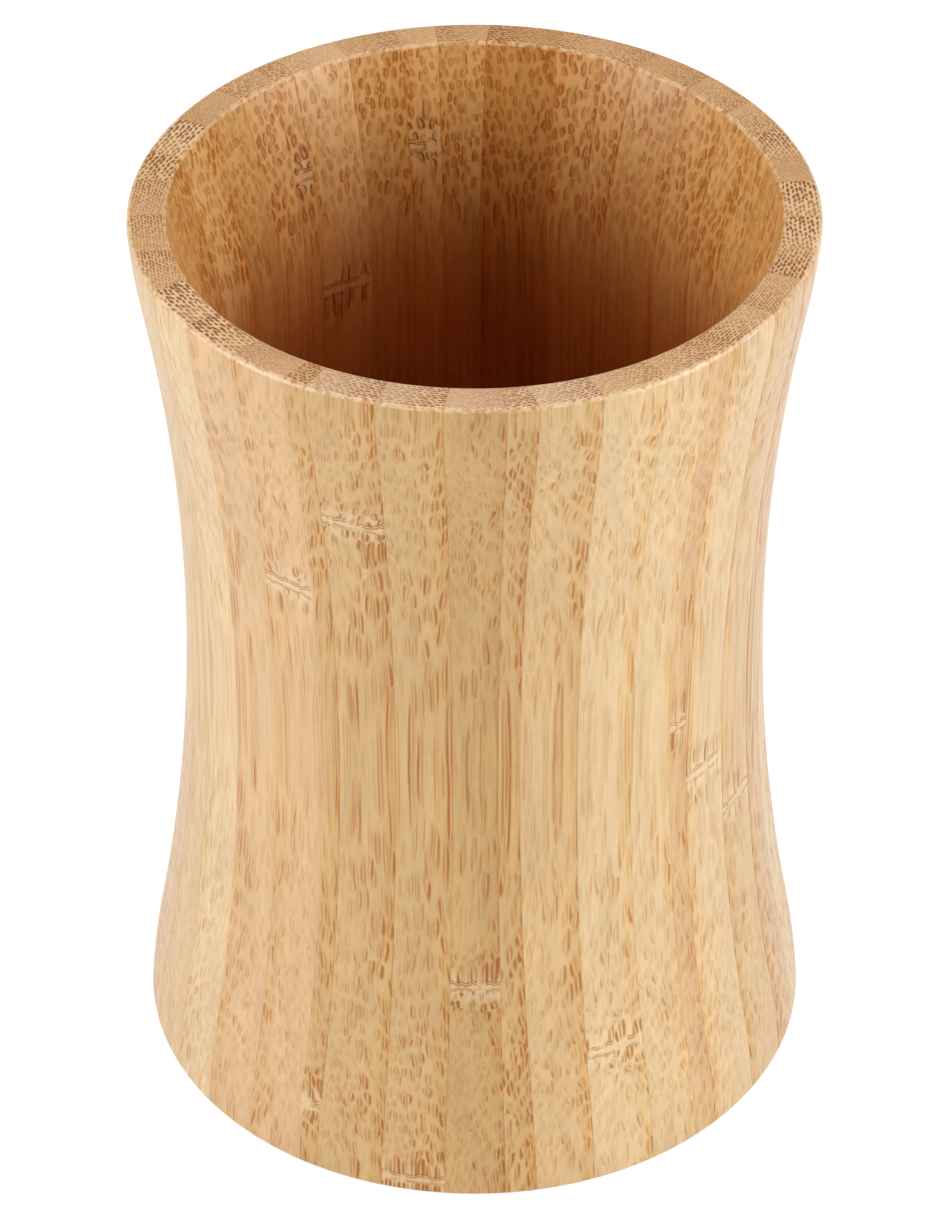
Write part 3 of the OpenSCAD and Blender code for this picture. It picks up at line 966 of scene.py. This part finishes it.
def floor_slat():
    """Geometry Nodes tree that runs a slat's section across the disc, from rim to rim."""
    tree = bpy.data.node_groups.new("Floor slat", "GeometryNodeTree")
    floats = ("Disc radius", "Eased edge", "Strong edge", "Strong side", "Width", "Grain shift")
    inputs = {"Geometry": ("Section",), "Float": floats}
    inputs |= {"Vector": ("Habit",), "Material": ("Material",)}
    given, result = sockets_of(tree, inputs, {"Geometry": ("Slat",)})
    grid, column, on_section, on_grid = rolled_out(tree, given["Section"], BASE_STATIONS)

    def placed(mesh, point, inwards, station):
        """The first and last stations are a slat's eased ends, and the others lie just inside."""
        off_middle = minus(tree, station, (BASE_STATIONS - 1) / 2)
        is_end = reckon(tree, "GREATER_THAN", size_of(tree, off_middle), 1.0)
        ease = times(tree, is_end, given["Eased edge"])
        eased = reckon_vectors(tree, "SCALE", inwards, None, None, ease)[0]
        eased = reckon_vectors(tree, "ADD", point, eased)[0]
        x, z, _ = split(tree, eased)
        inset = times(tree, rest_of(tree, is_end), given["Eased edge"])
        chord = minus(tree, given["Disc radius"], inset)
        squares = minus(tree, times(tree, chord, chord), times(tree, x, x))
        half = reckon(tree, "SQRT", reckon(tree, "MAXIMUM", squares, 0.0))
        y = times(tree, reckon(tree, "SIGN", off_middle), half)
        return moved(tree, mesh, vector_of(tree, x, y, z))

    body = turned_over(tree, placed(grid, *on_grid, column))
    front = placed(given["Section"], *on_section, 0.0)
    back = turned_over(tree, placed(given["Section"], *on_section, BASE_STATIONS - 1.0))
    whole = welded(tree, body, front, back)
    flat = put(tree, "GeometryNodeSetShadeSmooth", whole, None, False, domain="FACE")
    x, y, z = split(tree, on_section[0])
    off_edge = minus(tree, x, given["Strong edge"])
    strong_gap = times(tree, times(tree, off_edge, given["Strong side"]), PER_METRE)
    width = times(tree, given["Width"], PER_METRE)
    depth = sloped(tree, z, PER_METRE, given["Grain shift"])
    grain = vector_of(tree, strong_gap, depth, times(tree, y, PER_METRE))
    edges = vector_of(tree, minus(tree, width, strong_gap), FAR_FROM_A_SCAR)
    tree.links.new(varnished(tree, flat.outputs[0], grain, edges, given), result["Slat"])
    return tree


FLOOR_SLAT = floor_slat()
base_tones = dict.fromkeys(slat[0] for slat in FLOOR_SLATS)
base_bamboo = {tone: bamboo("floor " + tone, *TONES[tone], 0.0) for tone in base_tones}
slat_width = 2 * BASE_RADIUS / BASE_SLATS

for number, (tone, strong, spacing, reach) in enumerate(FLOOR_SLATS, 1):
    left = (number - 1) * slat_width - BASE_RADIUS
    right = left + slat_width
    piece = grown(
        f"floor_slat_{number:02d}",
        section_mesh(f"Slat section {number}", slat_outline(left, right)),
        FLOOR_SLAT,
        {
            "Disc radius": BASE_RADIUS * MM,
            "Eased edge": BASE_EASING * MM,
            "Strong edge": (left if strong == "left" else right) * MM,
            "Strong side": 1.0 if strong == "left" else -1.0,
            "Width": slat_width * MM,
            "Grain shift": BASE_GRAIN_STEP * number + BASE_GRAIN_START,
            "Habit": (spacing, BASE_STRENGTH, reach),
            "Material": base_bamboo[tone],
        },
    )
    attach(piece, "root")
    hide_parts(f"base_slat_{number:02d}")

# Studio: a white sweep that keeps the cup's shadow, in a room that the camera sees as plain white
# and the varnish as dark, with a white table behind and a white ceiling. The sweep is open under the
# cup and the world is light below the horizon, so that the underside can be seen.
FLOOR_HALF = 3.0
FLOOR_WHITE = (0.86, 0.86, 0.86, 1)
FLOOR_GLOW = (0.3, 1.0, 1.1, 1.25)
FLOOR_SHOWN_WHITE = 0.86
TABLE_EDGE = (-0.45, -0.2)
HOLE_RADIUS = 37.8
CEILING = (0.64, 0.8, 0.15, 1.0)
CEILING_OVERHEAD = (0.88, 0.97, 1.0, 0.3)
ROOM_LIGHT = (-0.1, -0.3, 0.08, 0.7)
# For each lamp: where it stands and its size in metres, its power in watts, and what it gives.
BOXES = (
    ("Left softbox", (-1.0, -0.2, 0.6), (0.8, 0.7), 8.6, "light and sheen"),
    ("Right softbox", (1.0, -0.2, 0.6), (0.8, 0.7), 8.6, "light and sheen"),
    ("Front strip", (0.0, -1.1, 0.18), (0.9, 0.3), 4.6, "light"),
    ("Back softbox", (0.0, 1.0, 0.8), (1.6, 0.8), 6.4, "light and sheen"),
    ("Top softbox", (0.0, 0.0, 1.2), (0.5, 0.5), 2.0, "light"),
    ("Left card", (-0.95, -0.45, 0.16), (0.5, 0.3), 5.2, "sheen"),
    ("Right card", (0.95, -0.45, 0.16), (0.5, 0.3), 5.2, "sheen"),
)


def seen_directly(tree):
    """1 for what the camera sees, straight or by way of gloss or glass."""
    path = put(tree, "ShaderNodeLightPath").outputs
    seen = reckon(tree, "MAXIMUM", path["Is Camera Ray"], path["Is Glossy Ray"])
    return reckon(tree, "MAXIMUM", seen, path["Is Transmission Ray"])


floor_mesh = bpy.data.meshes.new("Studio floor")
corners = [(x * FLOOR_HALF, y * FLOOR_HALF, 0) for x, y in ((-1, -1), (1, -1), (1, 1), (-1, 1))]
floor_mesh.from_pydata(corners, [], [range(4)])
studio_floor = bpy.data.objects.new("studio_floor", floor_mesh)
scene.collection.objects.link(studio_floor)
white = bpy.data.materials.new("White sweep")
white.use_nodes = True
tree = white.node_tree
tree.nodes.clear()
matt = put(tree, "ShaderNodeBsdfDiffuse", FLOOR_WHITE)
spot = put(tree, "ShaderNodeTexCoord").outputs["Object"]
in_front = split(tree, spot)[1]
far_off = reckon_vectors(tree, "LENGTH", spot)["Value"]
glow = put(tree, "ShaderNodeEmission", WHITE, fade(tree, far_off, *FLOOR_GLOW))
path = put(tree, "ShaderNodeLightPath").outputs
table = reckon(tree, "MAXIMUM", fade(tree, in_front, *TABLE_EDGE), path["Is Camera Ray"])
share = times(tree, times(tree, seen_directly(tree), table), FLOOR_SHOWN_WHITE)
lit = put(tree, "ShaderNodeMixShader", share, matt.outputs[0], glow.outputs[0])
clear = put(tree, "ShaderNodeBsdfTransparent")
below = put(tree, "ShaderNodeNewGeometry").outputs["Backfacing"]
under_cup = reckon(tree, "LESS_THAN", far_off, HOLE_RADIUS * MM)
hidden = reckon(tree, "MAXIMUM", below, under_cup)
both = put(tree, "ShaderNodeMixShader", hidden, lit.outputs[0], clear.outputs[0])
put(tree, "ShaderNodeOutputMaterial", both.outputs[0])
floor_mesh.materials.append(white)

world = bpy.data.worlds.new("White room")
world.use_nodes = True
tree = world.node_tree
tree.nodes.clear()
room = put(tree, "ShaderNodeBackground", WHITE)
way_up = split(tree, put(tree, "ShaderNodeTexCoord").outputs["Generated"])[2]
ceiling = times(tree, fade(tree, way_up, *CEILING), fade(tree, way_up, *CEILING_OVERHEAD))
mirrored = times(tree, seen_directly(tree), ceiling)
straight = put(tree, "ShaderNodeLightPath").outputs["Is Camera Ray"]
everywhere = fade(tree, way_up, *ROOM_LIGHT)
strength = reckon(tree, "MAXIMUM", reckon(tree, "MAXIMUM", mirrored, everywhere), straight)
tree.links.new(strength, room.inputs["Strength"])
put(tree, "ShaderNodeOutputWorld", room.outputs[0])
scene.world = world

for name, place, size, power, gives in BOXES:
    lamp = bpy.data.lights.new(name, "AREA")
    lamp.shape = "RECTANGLE"
    lamp.size, lamp.size_y = size
    lamp.energy = power
    light = bpy.data.objects.new(name, lamp)
    light.location = place
    light.rotation_mode = "QUATERNION"
    towards = -light.location.copy()
    towards.z += AIM_HEIGHT
    light.rotation_quaternion = towards.to_track_quat("-Z", "Y")
    light.visible_diffuse = "light" in gives
    light.visible_glossy = "sheen" in gives
    scene.collection.objects.link(light)

scene.view_settings.view_transform = "Standard"
